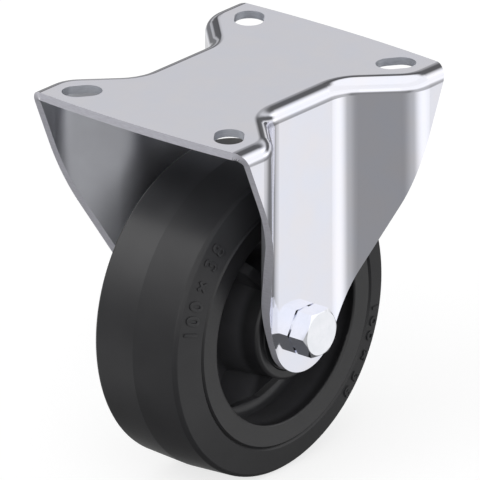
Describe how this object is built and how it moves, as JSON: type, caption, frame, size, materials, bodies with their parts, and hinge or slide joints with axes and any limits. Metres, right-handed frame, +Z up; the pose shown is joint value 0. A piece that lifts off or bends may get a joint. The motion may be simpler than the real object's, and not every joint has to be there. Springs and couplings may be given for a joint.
{
  "type": "fixed castor",
  "caption": "Fixed castor: a pressed steel top-plate bracket with flared legs carries a rubber-tyred wheel on a roller bearing, held by a hexagon axle bolt.",
  "frame": {"origin": "centre of the mounting plate's top face", "axes": "+Z up, square to the plate's top face; +X the way the wheel rolls; Y along the axle, the bolt's head at -Y"},
  "size_m": [0.1004, 0.085, 0.1255],
  "materials": {
    "zinc_plated_sheet": "bright zinc plate on pressed sheet",
    "bright_zinc_bolt": "bright zinc plate",
    "bright_zinc_nut": "bright zinc plate",
    "nylon_insert": "natural nylon",
    "ground_steel": "ground",
    "black_nylon": "moulded",
    "natural_nylon": "moulded",
    "bearing_steel": "polished",
    "moulded_polyamide": "satin moulded",
    "black_rubber": "matt rubber"
  },
  "bodies": {
    "bracket_assembly": {"bracket": "zinc_plated_sheet", "axle_bolt": "bright_zinc_bolt", "lock_nut": "bright_zinc_nut", "nut_insert": "nylon_insert", "axle_tube": "ground_steel", "side_disc_front": "black_nylon", "side_disc_back": "black_nylon"},
    "wheel": {"tyre": "black_rubber", "wheel_centre": "moulded_polyamide", "bearing_sleeve": "ground_steel", "dust_cap_front": "black_nylon", "dust_cap_back": "black_nylon"},
    "cage": {"roller_cage": "natural_nylon"},
    "roller_01_pin": {"roller_01": "bearing_steel"},
    "roller_02_pin": {"roller_02": "bearing_steel"},
    "roller_03_pin": {"roller_03": "bearing_steel"},
    "roller_04_pin": {"roller_04": "bearing_steel"},
    "roller_05_pin": {"roller_05": "bearing_steel"},
    "roller_06_pin": {"roller_06": "bearing_steel"},
    "roller_07_pin": {"roller_07": "bearing_steel"},
    "roller_08_pin": {"roller_08": "bearing_steel"},
    "roller_09_pin": {"roller_09": "bearing_steel"},
    "roller_10_pin": {"roller_10": "bearing_steel"}
  },
  "joints": [
    {"name": "wheel_spin", "type": "hinge", "parent": "bracket_assembly", "child": "wheel", "pos_m": [0, 0, -0.0753], "axis": [0, 1, 0], "continuous": true},
    {"name": "cage_orbit", "type": "hinge", "parent": "bracket_assembly", "child": "cage", "pos_m": [0, 0, -0.0753], "axis": [0, 1, 0], "continuous": true},
    {"name": "roller_01_spin", "type": "hinge", "parent": "cage", "child": "roller_01_pin", "pos_m": [0.0095, 0, -0.0753], "axis": [0, 1, 0], "continuous": true},
    {"name": "roller_02_spin", "type": "hinge", "parent": "cage", "child": "roller_02_pin", "pos_m": [0.00769, 0, -0.08088], "axis": [0, 1, 0], "continuous": true},
    {"name": "roller_03_spin", "type": "hinge", "parent": "cage", "child": "roller_03_pin", "pos_m": [0.00294, 0, -0.08433], "axis": [0, 1, 0], "continuous": true},
    {"name": "roller_04_spin", "type": "hinge", "parent": "cage", "child": "roller_04_pin", "pos_m": [-0.00294, 0, -0.08433], "axis": [0, 1, 0], "continuous": true},
    {"name": "roller_05_spin", "type": "hinge", "parent": "cage", "child": "roller_05_pin", "pos_m": [-0.00769, 0, -0.08088], "axis": [0, 1, 0], "continuous": true},
    {"name": "roller_06_spin", "type": "hinge", "parent": "cage", "child": "roller_06_pin", "pos_m": [-0.0095, 0, -0.0753], "axis": [0, 1, 0], "continuous": true},
    {"name": "roller_07_spin", "type": "hinge", "parent": "cage", "child": "roller_07_pin", "pos_m": [-0.00769, 0, -0.06972], "axis": [0, 1, 0], "continuous": true},
    {"name": "roller_08_spin", "type": "hinge", "parent": "cage", "child": "roller_08_pin", "pos_m": [-0.00294, 0, -0.06627], "axis": [0, 1, 0], "continuous": true},
    {"name": "roller_09_spin", "type": "hinge", "parent": "cage", "child": "roller_09_pin", "pos_m": [0.00294, 0, -0.06627], "axis": [0, 1, 0], "continuous": true},
    {"name": "roller_10_spin", "type": "hinge", "parent": "cage", "child": "roller_10_pin", "pos_m": [0.00769, 0, -0.06972], "axis": [0, 1, 0], "continuous": true}
  ],
  "couplings": [
    {"joint": "cage_orbit", "follows": "wheel_spin", "ratio": 0.60526},
    {"joint": "roller_01_spin", "follows": "wheel_spin", "ratio": 2.2697},
    {"joint": "roller_02_spin", "follows": "wheel_spin", "ratio": 2.2697},
    {"joint": "roller_03_spin", "follows": "wheel_spin", "ratio": 2.2697},
    {"joint": "roller_04_spin", "follows": "wheel_spin", "ratio": 2.2697},
    {"joint": "roller_05_spin", "follows": "wheel_spin", "ratio": 2.2697},
    {"joint": "roller_06_spin", "follows": "wheel_spin", "ratio": 2.2697},
    {"joint": "roller_07_spin", "follows": "wheel_spin", "ratio": 2.2697},
    {"joint": "roller_08_spin", "follows": "wheel_spin", "ratio": 2.2697},
    {"joint": "roller_09_spin", "follows": "wheel_spin", "ratio": 2.2697},
    {"joint": "roller_10_spin", "follows": "wheel_spin", "ratio": 2.2697}
  ]
}
